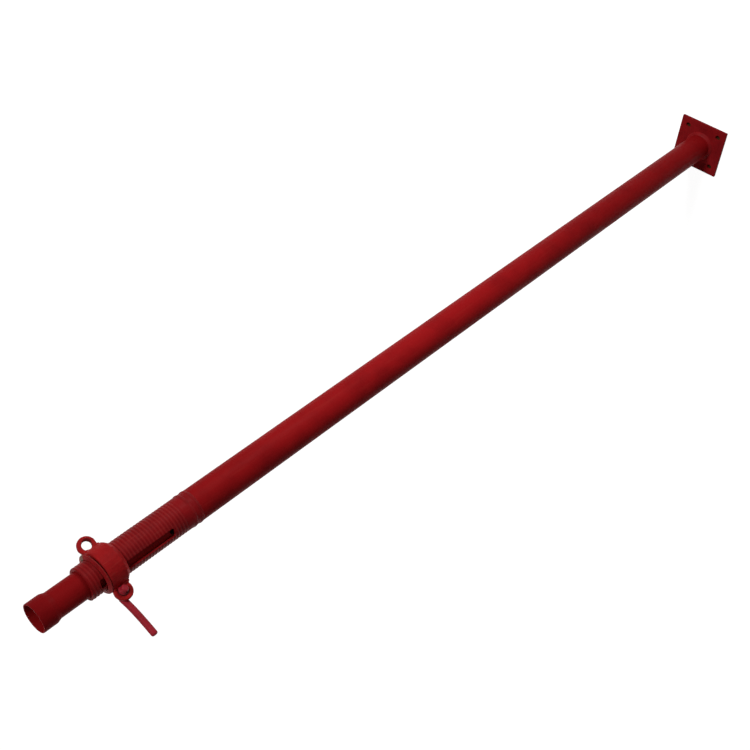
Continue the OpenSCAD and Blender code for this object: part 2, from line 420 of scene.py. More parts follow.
def wrap_grid(tree, grid, share, radius, height, relief):
    """Puts each point of a grid round Z at its own radius and height, and joins up the two ends and edges."""
    bearing = add(tree, "ShaderNodeMath", {0: share, 1: 2 * math.pi}, operation="MULTIPLY")
    along_x = add(tree, "ShaderNodeMath", {0: bearing}, operation="COSINE")
    along_y = add(tree, "ShaderNodeMath", {0: bearing}, operation="SINE")
    x = add(tree, "ShaderNodeMath", {0: along_x, 1: radius}, operation="MULTIPLY")
    y = add(tree, "ShaderNodeMath", {0: along_y, 1: radius}, operation="MULTIPLY")
    spot = add(tree, "ShaderNodeCombineXYZ", {0: x, 1: y, 2: height})
    marked = add(
        tree, "GeometryNodeStoreNamedAttribute", {0: grid, "Name": "relief", "Value": relief}, domain="POINT"
    )
    wrapped = add(tree, "GeometryNodeSetPosition", {0: marked, "Position": spot})
    return add(tree, "GeometryNodeMergeByDistance", {0: wrapped, "Distance": MERGE_REACH})


# %% Thread tree
def thread_tree(material, around=144, rows=520):
    """A threaded tube: a grid wrapped round Z, with rows up the outside and three more for the bore."""
    sizes = ["Crest Radius", "Thread Depth", "Bore Radius", "Mouth Radius", "Bottom", "Top", "Thread Start", "Pitch"]
    sizes += ["Slot Width", "Slot Bottom", "Slot Top", "Slot Corner"]
    tree, size = new_tree("rolled_thread", sizes)
    size = size.outputs
    grid = add(tree, "GeometryNodeMeshGrid", {0: 1.0, 1: 1.0, 2: around + 1, 3: rows + 3})
    share, row = grid_place(tree, rows + 2)

    # rows 0 to rows - 1 go up the outside, the next two are the bore, and the last meets row 0
    rise = add(tree, "ShaderNodeMapRange", {"Value": row, 1: 0.0, 2: rows - 1.0, 3: size["Bottom"], 4: size["Top"]})
    turned_down = add(tree, "ShaderNodeMath", {0: row, 1: rows + 0.5}, operation="GREATER_THAN")
    height = add(tree, "ShaderNodeMix", {0: turned_down, 2: rise, 3: size["Bottom"]})
    past_top = add(tree, "ShaderNodeMath", {0: row, 1: rows - 0.5}, operation="GREATER_THAN")
    before_last = add(tree, "ShaderNodeMath", {0: row, 1: rows + 1.5}, operation="LESS_THAN")
    in_bore = add(tree, "ShaderNodeMath", {0: past_top, 1: before_last}, operation="MULTIPLY")

    # the helix: height in pitches less the share of a turn, as a smooth ridge from 0 to 1
    turns = add(tree, "ShaderNodeMath", {0: height, 1: size["Pitch"]}, operation="DIVIDE")
    phase = add(tree, "ShaderNodeMath", {0: turns, 1: share}, operation="SUBTRACT")
    angle = add(tree, "ShaderNodeMath", {0: phase, 1: 2 * math.pi}, operation="MULTIPLY")
    wave = add(tree, "ShaderNodeMath", {0: angle}, operation="COSINE")
    ridge = add(
        tree, "ShaderNodeMapRange", {"Value": wave, 1: -0.95, 2: 0.85}, interpolation_type="SMOOTHSTEP"
    )

    # the thread runs out into the plain tube below, and the top edge is chamfered to the root
    run_out = add(tree, "ShaderNodeMath", {0: size["Thread Start"], 1: size["Pitch"]}, operation="ADD")
    plain = add(
        tree, "ShaderNodeMapRange", {"Value": height, 1: size["Thread Start"], 2: run_out, 3: 1.0, 4: 0.0}
    )
    ridge = add(tree, "ShaderNodeMath", {0: ridge, 1: plain}, operation="MAXIMUM")
    chamfer = add(tree, "ShaderNodeMath", {0: size["Top"], 1: size["Thread Depth"]}, operation="SUBTRACT")
    keep = add(tree, "ShaderNodeMapRange", {"Value": height, 1: chamfer, 2: size["Top"], 3: 1.0, 4: 0.0})
    ridge = add(tree, "ShaderNodeMath", {0: ridge, 1: keep}, operation="MULTIPLY")
    root = add(tree, "ShaderNodeMath", {0: size["Crest Radius"], 1: size["Thread Depth"]}, operation="SUBTRACT")
    outside = add(tree, "ShaderNodeMix", {0: ridge, 2: root, 3: size["Crest Radius"]})
    bore = add(tree, "ShaderNodeMix", {0: turned_down, 2: size["Mouth Radius"], 3: size["Bore Radius"]})
    radius = add(tree, "ShaderNodeMix", {0: in_bore, 2: outside, 3: bore})

    # the relief runs from -1 in the root to 1 on the crest, and is 0 on the plain tube and in the bore
    # the roots at -1 take the dark red as painted shade, and the crests the worn colour
    threaded = add(tree, "ShaderNodeMath", {0: 1.0, 1: plain}, operation="SUBTRACT")
    swing = add(tree, "ShaderNodeMapRange", {"Value": ridge, 3: -1.0, 4: 1.0})
    relief = add(tree, "ShaderNodeMath", {0: swing, 1: threaded}, operation="MULTIPLY")
    skin = add(tree, "ShaderNodeMath", {0: 1.0, 1: in_bore}, operation="SUBTRACT")
    relief = add(tree, "ShaderNodeMath", {0: relief, 1: skin}, operation="MULTIPLY")
    closed = wrap_grid(tree, grid, share, radius, height, relief)

    # both slots are cut by one rounded bar along X
    middle = add(tree, "ShaderNodeMix", {0: 0.5, 2: size["Slot Bottom"], 3: size["Slot Top"]})
    tall = add(tree, "ShaderNodeMath", {0: size["Slot Top"], 1: size["Slot Bottom"]}, operation="SUBTRACT")
    outline = add(tree, "GeometryNodeCurvePrimitiveQuadrilateral", {0: tall, 1: size["Slot Width"]})
    outline = add(
        tree, "GeometryNodeFilletCurve", {0: outline, "Radius": size["Slot Corner"], "Count": 6}, mode="POLY"
    )
    face = add(tree, "GeometryNodeFillCurve", {0: outline})
    depth = add(tree, "ShaderNodeMath", {0: size["Crest Radius"], 1: 3.0}, operation="MULTIPLY")
    solid = add(tree, "GeometryNodeExtrudeMesh", {0: face, "Offset Scale": depth, "Individual": False})
    lid = add(tree, "GeometryNodeFlipFaces", {0: face})
    bar = add(tree, "GeometryNodeJoinGeometry")
    tree.links.new(solid.outputs[0], bar.inputs[0])
    tree.links.new(lid.outputs[0], bar.inputs[0])
    bar = add(tree, "GeometryNodeMergeByDistance", {0: bar, "Distance": MERGE_REACH})
    back = add(tree, "ShaderNodeMath", {0: depth, 1: -0.5}, operation="MULTIPLY")
    where = add(tree, "ShaderNodeCombineXYZ", {0: back, 2: middle})
    turn = (0.0, math.pi / 2, 0.0)
    cutter = add(tree, "GeometryNodeTransform", {0: bar, "Translation": where, "Rotation": turn})
    cut = add(tree, "GeometryNodeMeshBoolean", {0: closed, 1: cutter}, operation="DIFFERENCE", solver="EXACT")
    finish_tree(tree, cut, material)
    return tree


# %% Threaded sleeve
PLAIN_FOOT = 26 * MM
MOUTH_GAP = 0.8 * MM
SLOT_MARGIN = 17 * MM
SLOT_HEIGHT = 152 * MM
SLOT_WIDTH = 16 * MM
SLOT_CORNER = 3 * MM
slot_top = sleeve_high.z - SLOT_MARGIN
sleeve_sizes = {
    "Crest Radius": CREST_R,
    "Thread Depth": THREAD_DEPTH,
    "Bore Radius": CREST_R - SLEEVE_WALL,
    "Mouth Radius": INNER_R + MOUTH_GAP,
    "Bottom": sleeve_low.z,
    "Top": sleeve_high.z,
    "Thread Start": sleeve_low.z + PLAIN_FOOT,
    "Pitch": PITCH,
    "Slot Width": SLOT_WIDTH,
    "Slot Bottom": slot_top - SLOT_HEIGHT,
    "Slot Top": slot_top,
    "Slot Corner": SLOT_CORNER,
}
sleeve_mesh = run_tree(thread_tree(thread_enamel), sleeve_sizes)
new_piece("rolled_sleeve", sleeve_mesh, "outer", thread_enamel, ["threaded_sleeve"])

# %% [markdown]
# ## Welds
#
# A run of weld is a mound laid down drop by drop, and each drop leaves a crescent ripple. One tree makes all
# three runs: two low beads where the sleeve joins the tube, and the fillet in the corner at the foot. It's a
# grid wrapped round the axis again, from one edge of the run to the other, raised in the middle.

# %% Weld tree
def weld_tree(material, around=560, across=12):
    """A run of weld round Z, from one edge to the other, with crescent ripples."""
    sizes = ["Start Radius", "Start Height", "End Radius", "End Height", "Crown", "Ripple Count", "Ripple Depth"]
    tree, size = new_tree("weld_run", sizes)
    size = size.outputs
    grid = add(tree, "GeometryNodeMeshGrid", {0: 1.0, 1: 1.0, 2: around + 1, 3: across + 2})
    share, row = grid_place(tree, across + 1)

    # the last row returns to the first, which closes the run's underside
    last = add(tree, "ShaderNodeMath", {0: row, 1: across + 0.5}, operation="GREATER_THAN")
    step = add(tree, "ShaderNodeMapRange", {"Value": row, 1: 0.0, 2: float(across)})
    step = add(tree, "ShaderNodeMix", {0: last, 2: step, 3: 0.0})
    side = add(tree, "ShaderNodeMapRange", {"Value": step, 3: -1.0, 4: 1.0})
    square = add(tree, "ShaderNodeMath", {0: side, 1: side}, operation="MULTIPLY")
    dome = add(tree, "ShaderNodeMath", {0: 1.0, 1: square}, operation="SUBTRACT")

    # ripples lag towards the edges, as a crescent does, and wander a little
    lag = add(tree, "ShaderNodeMath", {0: square, 1: 0.55}, operation="MULTIPLY")
    beat = add(tree, "ShaderNodeMath", {0: share, 1: size["Ripple Count"]}, operation="MULTIPLY")
    beat = add(tree, "ShaderNodeMath", {0: beat, 1: lag}, operation="SUBTRACT")
    swell = add(tree, "ShaderNodeMath", {0: beat, 1: 2 * math.pi}, operation="MULTIPLY")
    wave = add(tree, "ShaderNodeMath", {0: swell}, operation="SINE")
    ripple = add(tree, "ShaderNodeMath", {0: wave, 1: size["Ripple Depth"]}, operation="MULTIPLY")
    lift = add(tree, "ShaderNodeMath", {0: size["Crown"], 1: ripple}, operation="ADD")
    lift = add(tree, "ShaderNodeMath", {0: lift, 1: dome}, operation="MULTIPLY")

    # the lift goes square to the line between the two edges
    run = add(tree, "ShaderNodeMath", {0: size["End Radius"], 1: size["Start Radius"]}, operation="SUBTRACT")
    rise = add(tree, "ShaderNodeMath", {0: size["End Height"], 1: size["Start Height"]}, operation="SUBTRACT")
    slope = add(tree, "ShaderNodeMath", {0: rise, 1: run}, operation="ARCTAN2")
    aside = add(tree, "ShaderNodeMath", {0: slope}, operation="SINE")
    upward = add(tree, "ShaderNodeMath", {0: slope}, operation="COSINE")
    radius = add(tree, "ShaderNodeMix", {0: step, 2: size["Start Radius"], 3: size["End Radius"]})
    level = add(tree, "ShaderNodeMix", {0: step, 2: size["Start Height"], 3: size["End Height"]})
    radius = add(tree, "ShaderNodeMath", {0: lift, 1: aside, 2: radius}, operation="MULTIPLY_ADD")
    drop = add(tree, "ShaderNodeMath", {0: lift, 1: upward}, operation="MULTIPLY")
    level = add(tree, "ShaderNodeMath", {0: level, 1: drop}, operation="SUBTRACT")

    # ripple hollows take the dark red as painted shade, and the crests the worn colour
    relief = add(tree, "ShaderNodeMath", {0: wave, 1: dome}, operation="MULTIPLY")
    finish_tree(tree, wrap_grid(tree, grid, share, radius, level, relief), material)
    return tree


# %% Weld runs
BEAD_WIDTH = 7 * MM
BEAD_CROWN = 0.8 * MM
BEAD_SPACING = 13.3 * MM
FILLET_LEG = 6 * MM
FILLET_CROWN = 0.2 * MM
RIPPLE_SPACING = 2.1 * MM
RIPPLE_DEPTH = 0.16 * MM
welds = weld_tree(weld_enamel)
ripples = round(2 * math.pi * TUBE_R / RIPPLE_SPACING)


def weld(name, edges, crown, replaced):
    """One run of weld between two edges, each given as a radius and a height."""
    (start_r, start_z), (end_r, end_z) = edges
    sizes = {"Start Radius": start_r, "Start Height": start_z, "End Radius": end_r, "End Height": end_z}
    sizes.update({"Crown": crown, "Ripple Count": ripples, "Ripple Depth": RIPPLE_DEPTH})
    mesh = run_tree(welds, sizes)
    outward(mesh)
    new_piece(name, mesh, "outer", weld_enamel, [replaced], crease=60)


for name, height in (("joint_bead_low", sleeve_low.z), ("joint_bead_high", sleeve_low.z + BEAD_SPACING)):
    edges = ((TUBE_R, height - BEAD_WIDTH / 2), (TUBE_R, height + BEAD_WIDTH / 2))
    weld(name, edges, BEAD_CROWN, "joint_weld")
foot = plate_high.z
weld("foot_fillet", ((TUBE_R + FILLET_LEG, foot), (TUBE_R, foot + FILLET_LEG)), FILLET_CROWN, "base_weld")

# %% [markdown]
# ## The inner tube
#
# The inner tube is drawn steel, with its upper end opened out into a socket over a mandrel, which leaves a soft
# neck. Its two walls are drilled right through at a steady pitch. The tube is a spun profile, and Geometry
# Nodes put a row of drills along it and cut them all at once.

# %% Pin hole tree
def pin_hole_tree(material):
    """Cuts a row of cross holes, going down from the first."""
    tree, size = new_tree("pin_holes", ["Hole Diameter", "First Hole", "Pitch", "Hole Count", "Length"])
    tube, size = size.outputs["Geometry"], size.outputs
    start = add(tree, "ShaderNodeCombineXYZ", {2: size["First Hole"]})
    down = add(tree, "ShaderNodeMath", {0: size["Pitch"], 1: -1.0}, operation="MULTIPLY")
    step = add(tree, "ShaderNodeCombineXYZ", {2: down})
    spots = add(
        tree, "GeometryNodeMeshLine", {"Count": size["Hole Count"], "Start Location": start, "Offset": step}
    )
    half = add(tree, "ShaderNodeMath", {0: size["Hole Diameter"], 1: 0.5}, operation="MULTIPLY")
    drill = add(tree, "GeometryNodeMeshCylinder", {"Vertices": 40, "Radius": half, "Depth": size["Length"]})
    row = add(
        tree,
        "GeometryNodeInstanceOnPoints",
        {"Points": spots, "Instance": drill, "Rotation": (0.0, math.pi / 2, 0.0)},
    )
    drills = add(tree, "GeometryNodeRealizeInstances", {0: row})
    cut = add(tree, "GeometryNodeMeshBoolean", {0: tube, 1: drills}, operation="DIFFERENCE", solver="EXACT")
    finish_tree(tree, cut, material)
    return tree


# %% Inner tube
SOCKET_DEPTH = 26 * MM
SOCKET_NECK = 8.5 * MM
SOCKET_BORE_R = 24.3 * MM
SOCKET_WALL = 2.7 * MM
SOCKET_R = SOCKET_BORE_R + SOCKET_WALL
HOLE_DIAMETER = 14.5 * MM
HOLE_COUNT = 14
FIRST_HOLE = 158 * MM
HOLE_PITCH = 101.6 * MM
inner_bore_r = INNER_R - TUBE_WALL
mouth, floor_z = inner_high.z, inner_high.z - SOCKET_DEPTH
neck_z = floor_z - SOCKET_NECK
tube_profile = rounded(
    [
        (inner_bore_r, inner_low.z),
        (INNER_R, inner_low.z),
        (INNER_R, neck_z),
        (SOCKET_R, floor_z),
        (SOCKET_R, mouth),
        (SOCKET_BORE_R, mouth),
        (SOCKET_BORE_R, floor_z),
        (inner_bore_r, neck_z),
    ],
    [radius * MM for radius in (0.3, 0.3, 6, 6, 0.8, 0.6, 4, 4)],
    steps=5,
)
inner_mesh = lathe("inner_tube_blank", tube_profile, spacing=14 * MM)
hole_sizes = {"Hole Diameter": HOLE_DIAMETER, "First Hole": mouth - FIRST_HOLE, "Pitch": HOLE_PITCH}
hole_sizes.update({"Hole Count": HOLE_COUNT, "Length": 4 * INNER_R})
inner_mesh = run_tree(pin_hole_tree(tube_enamel), hole_sizes, inner_mesh)
new_piece("socketed_inner_tube", inner_mesh, "inner", tube_enamel, ["inner_tube"], crease=30)

# %% [markdown]
# The outer tube is plain drawn tube. The frame's solid has flat facets, which show as bands in a long soft
# highlight, so the same profile is spun again with smooth shading and its sawn ends slightly broken.

# %% Outer tube
outer_profile = rounded(
    [
        (TUBE_R - TUBE_WALL, tube_low.z),
        (TUBE_R, tube_low.z),
        (TUBE_R, tube_high.z),
        (TUBE_R - TUBE_WALL, tube_high.z),
    ],
    [0.3 * MM] * 4,
)
outer_mesh = lathe("outer_tube_blank", outer_profile, spacing=20 * MM)
new_piece("drawn_outer_tube", outer_mesh, "outer", tube_enamel, ["outer_tube"], crease=30)

# %% [markdown]
# ## The base plate
#
# The plate is sheared from flat bar and punched at its corners, so its edges are slightly rounded. A filled 2-D
# curve with a small bevel is the natural way: the square and the holes are splines of one curve, and the bevel
# follows them all.

# %% Base plate
PLATE_SIDE = 122 * MM
PLATE_ANGLE = math.radians(-18.9)
PLATE_HOLE_R = 6 * MM
HOLE_EDGE = 20 * MM
PLATE_BEVEL = 0.7 * MM
PLATE_CORNER = 1.2 * MM


def round_corner_square(side, radius, steps=4):
    """Points of a square with rounded corners."""
    points = []
    for quarter in range(4):
        corner = math.radians(90 * quarter)
        inset = side / 2 - radius
        centre = Matrix.Rotation(corner, 2) @ Vector((inset, inset))
        for k in range(steps + 1):
            angle = corner + math.radians(90) * k / steps
            points.append(centre + radius * Vector((math.cos(angle), math.sin(angle))))
    return points


def circle_points(centre, radius, count=40):
    """Points of a circle."""
    return [
        Vector(centre) + radius * Vector((math.cos(a), math.sin(a)))
        for a in (2 * math.pi * i / count for i in range(count))
    ]


def base_plate():
    """The plate as a mesh, from a filled curve."""
    curve = bpy.data.curves.new("plate_outline", "CURVE")
    curve.dimensions = "2D"
    curve.fill_mode = "BOTH"
    thick = plate_high.z - plate_low.z
    curve.extrude = thick / 2 - PLATE_BEVEL
    curve.bevel_depth = PLATE_BEVEL
    curve.bevel_resolution = 3
    curve.offset = -PLATE_BEVEL
    inset = PLATE_SIDE / 2 - HOLE_EDGE
    outlines = [round_corner_square(PLATE_SIDE, PLATE_CORNER)]
    for x in (-inset, inset):
        for y in (-inset, inset):
            outlines.append(circle_points((x, y), PLATE_HOLE_R))
    for points in outlines:
        spline = curve.splines.new("POLY")
        spline.points.add(len(points) - 1)
        spline.use_cyclic_u = True
        for target, point in zip(spline.points, points):
            target.co = (point.x, point.y, 0, 1)
    mesh = bake(put("plate_outline", curve))
    middle = Matrix.Translation((0, 0, (plate_high.z + plate_low.z) / 2))
    mesh.transform(middle @ Matrix.Rotation(PLATE_ANGLE, 4, "Z"))
    outward(mesh)
    return mesh


new_piece("punched_plate", base_plate(), "outer", plate_enamel, ["base_plate"])

# %% [markdown]
# ## The washer
#
# The pin rests on a loose ring with a coned upper face. Steel on steel rubs its paint away, so its upper edge is
# the most worn place on the prop. To know what is an edge, each point is compared with its neighbours: one that
# stands out of them is on a ridge, and one that sinks below them is in a crease, which is painted darker as
# painted shade. The ring hangs loose on the thread, so it's tipped a little: one side rests on the nut and the
# other is lifted.

# %% Relief
def vectors(mesh, kind):
    """The places ("co") or the normals ("normal") of a mesh's points, in rows of three."""
    values = np.empty(len(mesh.vertices) * 3)
    mesh.vertices.foreach_get(kind, values)
    return values.reshape(-1, 3)


def mark_relief(mesh, reach, smooth=2):
    """Stores how far each point stands out of its neighbours as the relief: reach, in mm, counts as 1."""
    points, normals = vectors(mesh, "co"), vectors(mesh, "normal")
    edges = np.empty(len(mesh.edges) * 2, int)
    mesh.edges.foreach_get("vertices", edges)
    a, b = edges.reshape(-1, 2).T
    degree = np.bincount(np.concatenate([a, b]), minlength=len(points))[:, None]

    def neighbours(values):
        total = np.zeros_like(values)
        np.add.at(total, a, values[b])
        np.add.at(total, b, values[a])
        return total / np.maximum(degree, 1)

    around = points
    for _ in range(smooth):
        around = neighbours(around)
    height = ((points - around) * normals).sum(axis=1, keepdims=True)
    height = neighbours(height)[:, 0] / (reach * MM)
    attribute = mesh.attributes.new("relief", "FLOAT", "POINT")
    attribute.data.foreach_set("value", np.clip(height, -1, 1).astype(np.float32))


# %% Washer
WASHER_PLAY = 0.6 * MM
WASHER_BORE_R = CREST_R + WASHER_PLAY
WASHER_LAND = 1.95 * MM
washer_r = washer_high.x
washer_rim = washer_low.z + (washer_high.z - washer_low.z) / 3
washer_profile = rounded(
    [
        (WASHER_BORE_R, washer_low.z),
        (washer_r, washer_low.z),
        (washer_r, washer_rim),
        (WASHER_BORE_R + WASHER_LAND, washer_high.z),
        (WASHER_BORE_R, washer_high.z),
    ],
    [radius * MM for radius in (0.2, 0.3, 0.6, 0.5, 0.3)],
)
washer_mesh = lathe("washer", washer_profile, segments=220, spacing=0.7 * MM)
# creases take the dark red as painted shade, and edges the worn colour
mark_relief(washer_mesh, reach=0.05)

# it turns about the rim opposite the lifted side, which stays on the nut
WASHER_TILT = math.radians(4)
WASHER_SHIFT = 0.35 * MM
LIFTED_SIDE = math.radians(127.5)
lifted = Vector((math.cos(LIFTED_SIDE), math.sin(LIFTED_SIDE), 0))
contact = Matrix.Translation(Vector((0, 0, washer_low.z)) - lifted * washer_r)
tilt = Matrix.Rotation(WASHER_TILT, 4, lifted.cross(Vector((0, 0, 1))))
washer_mesh.transform(Matrix.Translation(lifted * WASHER_SHIFT) @ contact @ tilt @ contact.inverted())
new_piece("coned_washer", washer_mesh, "washer", washer_enamel, ["bearing_washer"], crease=60)

# %% [markdown]
# ## The collar nut
#
# The nut is a sand casting in iron. A casting has no sharp edges: every corner is a fillet, because sand can't
# hold a crisp one. Bevels on each edge would be slow and would miss where the ears meet the barrel. Instead a
# copy of the solid is remeshed into small even faces and smoothed, which rounds everything by the same
# amount, and a fine lumpiness is pushed into its skin, with the thin ridge where the mould's halves met. Its
# hollows are painted darker as shade. The eyes are painted dark too: inside their walls for grease and for the
# shade in the hole, and on the low outer side of the spare one as painted shade.

# %% Collar nut
VOXEL = 0.75 * MM
LUMP_WAVES = 14
NUT_WALL_R = 39.5 * MM
SKIN_START = CREST_R + 1.5 * MM
SEAM_HEIGHT = 0.22 * MM
SEAM_WIDTH = 0.55 * MM
EYE_R = 8.5 * MM
EYE_DROP = 2.1 * MM
EAR_REACH = 5 * MM
EYE_GREASE_AND_SHADE_RIM = 0.9 * MM
LOW_SIDE_SHADE = 4.5 * MM
swing = joints["handle_swing"]
ear_across = Vector(swing["axis"]).normalized()
ear_out = Vector((ear_across.y, -ear_across.x, 0))
pivot = Vector(swing["pos_m"])


def lumps(points, size, seed):
    """A smooth random height at each point, about -1 to 1, from sine waves of about a given size in metres."""
    random = np.random.default_rng(seed)
    height = np.zeros(len(points))
    for _ in range(LUMP_WAVES):
        direction = random.normal(size=3)
        direction *= 2 * math.pi / (size * random.uniform(0.7, 1.6) * np.linalg.norm(direction))
        height += np.sin(points @ direction + random.uniform(0, 2 * math.pi))
    return height / 5


def paint_eye_shade_and_grease(mesh, points):
    """Darkens the walls of both eyes, for grease and painted shade, and the low outer side of the spare one as
    painted shade.
    """
    relief = mesh.attributes["relief"]
    values = np.empty(len(points), np.float32)
    relief.data.foreach_get("value", values)
    for side in (1, -1):
        eye = np.array((side * pivot.x, side * pivot.y, pivot.z - EYE_DROP))
        away = points - eye
        aside = np.abs(away @ np.array(ear_across))
        reach = np.sqrt(np.maximum((away**2).sum(axis=1) - aside**2, 0))
        inside = np.clip((EYE_R + EYE_GREASE_AND_SHADE_RIM - reach) / (0.5 * MM), 0, 1) * (aside < EAR_REACH)
        if side < 0:
            # 1 straight towards the eye's low outer side, and less away from it
            low_side = away @ np.array((-0.81 * ear_out.x, -0.81 * ear_out.y, -0.58)) / np.maximum(reach, MM)
            shaded_reach = EYE_R + LOW_SIDE_SHADE * np.clip(1.6 * low_side - 0.6, 0, 1)
            inside = np.maximum(inside, np.clip((shaded_reach - reach) / MM, 0, 1))
        values = values * (1 - inside) - inside
    relief.data.foreach_set("value", values.astype(np.float32))


def cast_nut():
    """A rounded, slightly lumpy copy of the nut's solid."""
    source = frame["nodes"]["collar_nut"].data.copy()
    source.materials.clear()
    outward(source)
    piece = put("nut_blank", source)
    remesh = piece.modifiers.new("remesh", "REMESH")
    remesh.mode = "VOXEL"
    remesh.voxel_size = VOXEL
    soften = piece.modifiers.new("soften", "SMOOTH")
    soften.factor = 0.5
    soften.iterations = 5
    mesh = bake(piece)
    points, normals = vectors(mesh, "co"), vectors(mesh, "normal")
    reach = np.hypot(points[:, 0], points[:, 1])

    # broad lumps and finer ones, which fade out towards the bore
    skin = np.clip((reach - SKIN_START) / (1.5 * MM), 0, 1)
    height = 0.10 * MM * lumps(points, 5 * MM, 3) + 0.05 * MM * lumps(points, 1.8 * MM, 4)

    # the mould's seam runs round both ears, halfway across them
    across = points @ np.array(ear_across)
    seam = SEAM_HEIGHT * np.exp(-((across / SEAM_WIDTH) ** 2))
    edge_on = 1 - np.abs(normals @ np.array(ear_across))
    outer_part = np.clip((reach - NUT_WALL_R) / MM, 0, 1)
    points += normals * (skin * height + seam * edge_on * outer_part)[:, None]
    mesh.vertices.foreach_set("co", points.ravel())
    mesh.update()
    # hollows and fillets take the dark red as painted shade, and raised edges the worn colour
    mark_relief(mesh, reach=0.35, smooth=3)
    paint_eye_shade_and_grease(mesh, points)
    return mesh


new_piece("cast_collar_nut", cast_nut(), "nut", casting_enamel, ["collar_nut"], crease=80)

# %% [markdown]
# ## The handle
#
# The handle is a length of round bar, bent cold behind the ear after a collar was forged on it in front of the
# ear, so that it doesn't slip out. A curve with a round bevel is the usual way to make bent bar. The radius at each
# of its points then gives the collar and the rounded ends, all in one skin. Bending by eye leaves a bar a little
# askew: its front end points down, and the shank starts high and settles along its length.

# %% Handle
BAR_R = 6 * MM
EAR_SIDE = 4.15 * MM
HOOK_R = 8 * MM
END_REACH = 15 * MM
END_R = 6.5 * MM
END_DOME = 2.4 * MM
END_DROP = 3.6 * MM
COLLAR_R = 8.4 * MM
COLLAR_LOW = 5.0 * MM
COLLAR_HIGH = 7.6 * MM
SHANK_REACH = 132.5 * MM
SHANK_RISE = 3.0 * MM
SHANK_DROP = 2.2 * MM
SHANK_SETTLE = 30 * MM
TIP_ROUND = 3.6 * MM
COLLAR_SHADE_REACH = 9 * MM
shank_tip = SHANK_REACH - Vector((pivot.x, pivot.y, 0)).length


def handle_path():
    """The bar's centre line as (outwards, across, down, radius), from the front end to the shank's tip."""

    def front(across, radius):
        reach = max(0, (across - COLLAR_HIGH) / (END_REACH - COLLAR_HIGH))
        return (0, across, END_DROP * reach, radius)

    path = []
    for degrees in (0, 15, 30, 45, 60, 75, 90):
        a = math.radians(degrees)
        path.append(front(END_REACH - END_DOME * (1 - math.cos(a)), END_R - END_DOME * (1 - math.sin(a))))

    # the collar, from its front face to its back one, with broken edges
    path += [front(COLLAR_HIGH + 1.5 * MM, BAR_R), front(COLLAR_HIGH + 0.2 * MM, BAR_R + 0.3 * MM)]
    path += [front(COLLAR_HIGH, COLLAR_R - 0.9 * MM), front(COLLAR_HIGH - 0.3 * MM, COLLAR_R - 0.25 * MM)]
    path += [front(COLLAR_HIGH - 0.9 * MM, COLLAR_R), front(COLLAR_LOW + 0.6 * MM, COLLAR_R)]
    path += [front(COLLAR_LOW, COLLAR_R - 0.6 * MM), front(COLLAR_LOW - 0.1 * MM, BAR_R)]

    # through the eye, round the bend, and out along the shank to its rounded tip
    path += [front(EAR_SIDE * k, BAR_R) for k in (1, 0, -1)]
    for k in range(1, 13):
        angle = math.radians(90 * k / 12)
        rise = SHANK_RISE * (1 - math.cos(angle))
        path.append((HOOK_R * (1 - math.cos(angle)), -EAR_SIDE - HOOK_R * math.sin(angle), -rise, BAR_R))
    for k in range(1, 31):
        out = (shank_tip - HOOK_R - TIP_ROUND) * k / 30
        down = SHANK_DROP - (SHANK_DROP + SHANK_RISE) * math.exp(-out / SHANK_SETTLE)
        path.append((HOOK_R + out, -EAR_SIDE - HOOK_R, down, BAR_R))
    start, across, down, radius = path[-1]
    for degrees in (20, 40, 60, 75, 90):
        a = math.radians(degrees)
        path.append((start + TIP_ROUND * math.sin(a), across, down, radius - TIP_ROUND * (1 - math.cos(a))))
    return path


def bent_bar():
    """The handle as a mesh."""
    curve = bpy.data.curves.new("handle_line", "CURVE")
    curve.dimensions = "3D"
    curve.bevel_depth = BAR_R
    curve.bevel_resolution = 10
    curve.use_fill_caps = True
    path = handle_path()
    spline = curve.splines.new("POLY")
    spline.points.add(len(path) - 1)
    for target, (out, across, down, radius) in zip(spline.points, path):
        target.co = (*(pivot + ear_out * out + ear_across * across - Vector((0, 0, down))), 1)
        target.radius = radius / BAR_R
    mesh = bake(put("handle_line", curve))
    outward(mesh)

    # the collar and the bar where it turns in the eye are painted dark, as painted shade
    values = []
    for vertex in mesh.vertices:
        away = vertex.co - pivot
        nearest = max(away.dot(ear_out) - COLLAR_SHADE_REACH, away.dot(ear_across) - COLLAR_HIGH - 0.3 * MM)
        values.append(-min(1, max(0, -nearest / (0.2 * MM))))
    mesh.attributes.new("relief", "FLOAT", "POINT").data.foreach_set("value", values)
    return mesh


new_piece("bent_bar_handle", bent_bar(), "handle", bar_enamel, ["handle"], crease=45)

# %% [markdown]
# The bar is thinner than its eye. A thin dark disc across the middle of the eye closes the space between them:
# it is painted shade, so the eye reads dark behind the bar. It belongs to the nut, and the bar turns in it.

# %% Painted shade in the eye
SHADE_DISC_THICKNESS = 1.6 * MM
SHADE_DISC_BORE_R = 2 * MM
shade_disc_r = EYE_R + 0.3 * MM
half = SHADE_DISC_THICKNESS / 2
shade_disc_profile = [(SHADE_DISC_BORE_R, -half), (shade_disc_r, -half), (shade_disc_r, half), (SHADE_DISC_BORE_R, half)]
shade_disc_mesh = lathe("shade_disc", shade_disc_profile, segments=48)
facing = ear_across.to_track_quat("Z", "Y").to_matrix().to_4x4()
shade_disc_mesh.transform(Matrix.Translation(pivot - Vector((0, 0, EYE_DROP))) @ facing)
# the whole disc takes the dark red, as painted shade
shade_disc_relief = shade_disc_mesh.attributes.new("relief", "FLOAT", "POINT")
shade_disc_relief.data.foreach_set("value", [-1.0] * len(shade_disc_mesh.vertices))
new_piece("eye_shade_disc", shade_disc_mesh, "nut", bar_enamel)

